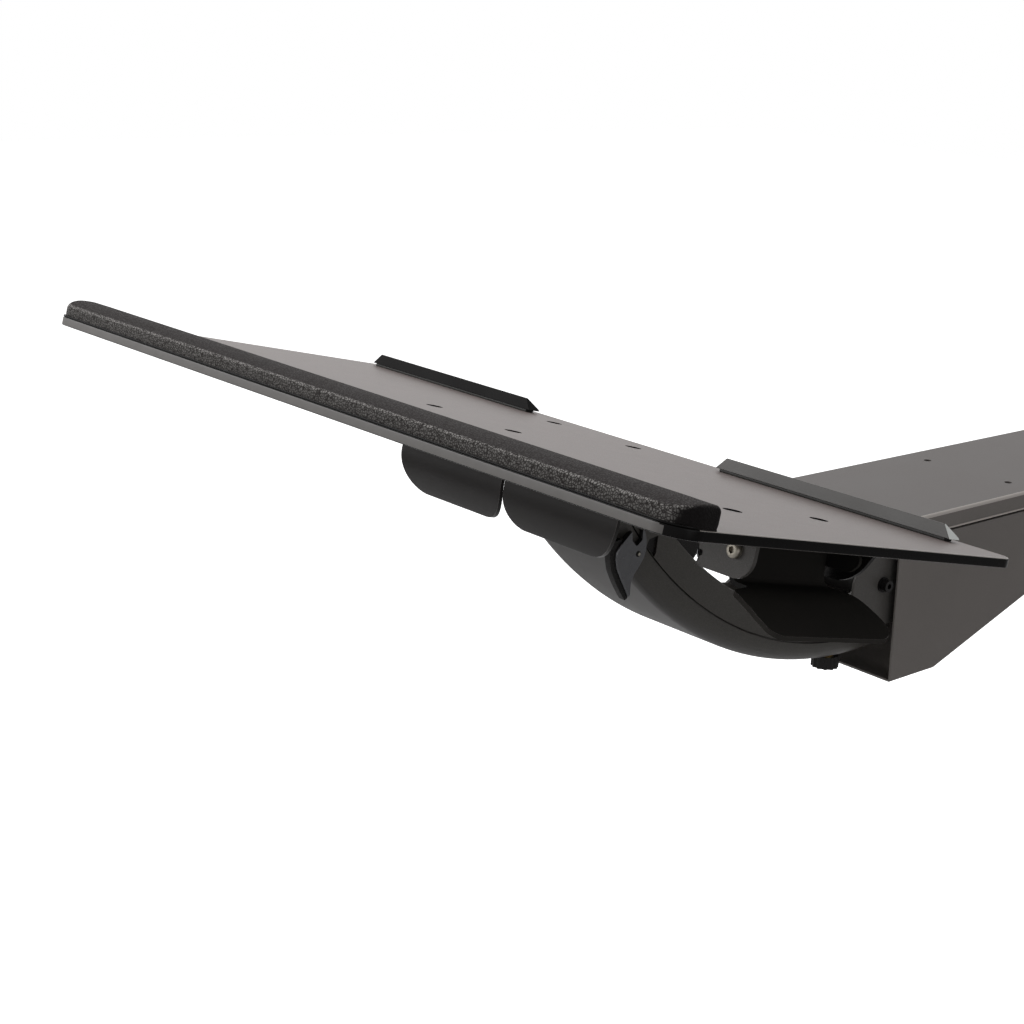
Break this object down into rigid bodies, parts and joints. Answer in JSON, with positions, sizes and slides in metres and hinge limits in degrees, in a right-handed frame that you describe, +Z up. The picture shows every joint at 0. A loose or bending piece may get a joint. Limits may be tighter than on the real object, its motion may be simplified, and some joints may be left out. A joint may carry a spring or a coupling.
{
  "type": "under-desk keyboard tray",
  "caption": "Keyboard tray with a palm rest, keyboard stops and release levers, on a tilting, height adjustable arm that hangs from a channel under a desk.",
  "frame": {"origin": "centre of the mounting screw pattern, on the top face of the mounting channel that meets the desk", "axes": "+Z up, +Y away from the user, under the desk, +X to the user's right"},
  "size_m": [0.686, 0.9442, 0.3091],
  "materials": {
    "coating": "satin warm grey powder coat on steel sheet",
    "cheek_paint": "satin light grey coat on steel plate",
    "zinc": "bright zinc plated steel",
    "steel": "ground steel",
    "black_oxide": "black oxide steel",
    "brass": "satin brass",
    "dark_plastic": "black moulded plastic, matt",
    "gloss_black": "black moulded plastic, glossy",
    "board": "compact laminate, satin brown-grey faces and dark edge",
    "palm_pad": "soft charcoal pad with a pebbled skin"
  },
  "bodies": {
    "mount": {"mounting_channel": "coating", "housing": "coating", "cheek_left": "cheek_paint", "cheek_right": "cheek_paint", "cheek_rivets": "zinc", "pivot_shaft": "steel", "pivot_screws": "black_oxide", "spring_drum": "dark_plastic"},
    "arm": {"arm_shell": "coating", "pivot_bushes": "brass", "tilt_shaft": "steel", "tilt_nuts": "zinc", "lock_strap": "zinc", "strap_screws": "zinc", "knob_collar": "brass"},
    "lock_knob": {"lock_knob": "dark_plastic"},
    "tray": {"tray_board": "board", "palm_rest": "palm_pad", "tilt_bracket": "coating", "tilt_bushes": "brass", "board_screws": "black_oxide", "paddle_hanger": "coating", "hinge_rod": "steel", "lever_bracket": "cheek_paint", "lever_board_screws": "black_oxide", "lever_screws": "zinc"},
    "stop_left": {"stop_bar_left": "dark_plastic", "stop_pegs_left": "dark_plastic"},
    "stop_right": {"stop_bar_right": "dark_plastic", "stop_pegs_right": "dark_plastic"},
    "side_lever": {"side_lever": "gloss_black"},
    "paddle_left": {"paddle_left": "gloss_black"},
    "paddle_right": {"paddle_right": "gloss_black"}
  },
  "joints": [
    {"name": "height", "type": "hinge", "parent": "mount", "child": "arm", "pos_m": [0, -0.194, -0.0555], "axis": [1, 0, 0], "range_deg": [-6, 15]},
    {"name": "tilt", "type": "hinge", "parent": "arm", "child": "tray", "pos_m": [0, -0.49105, 0.072], "axis": [1, 0, 0], "range_deg": [0, 28]},
    {"name": "knob_turn", "type": "hinge", "parent": "arm", "child": "lock_knob", "pos_m": [0.034, -0.221, -0.11905], "axis": [0, 0.0504, 0.9987], "range_deg": [0, 90]},
    {"name": "stop_left_lift", "type": "slide", "parent": "tray", "child": "stop_left", "axis": [0, 0.23, 0.9732], "range_m": [0, 0.012]},
    {"name": "stop_right_lift", "type": "slide", "parent": "tray", "child": "stop_right", "axis": [0, 0.23, 0.9732], "range_m": [0, 0.012]},
    {"name": "side_lever_squeeze", "type": "hinge", "parent": "tray", "child": "side_lever", "pos_m": [0.309, -0.56688, 0.09897], "axis": [0, -0.9732, 0.23], "range_deg": [0, 8], "stiffness_Nm_per_rad": 0.8, "springref_deg": -14.32},
    {"name": "paddle_left_squeeze", "type": "hinge", "parent": "tray", "child": "paddle_left", "pos_m": [0, -0.53787, 0.0956], "axis": [1, 0, 0], "range_deg": [0, 9], "stiffness_Nm_per_rad": 0.4, "springref_deg": -11.46},
    {"name": "paddle_right_squeeze", "type": "hinge", "parent": "tray", "child": "paddle_right", "pos_m": [0, -0.53787, 0.0956], "axis": [1, 0, 0], "range_deg": [0, 9], "stiffness_Nm_per_rad": 0.4, "springref_deg": -11.46}
  ]
}
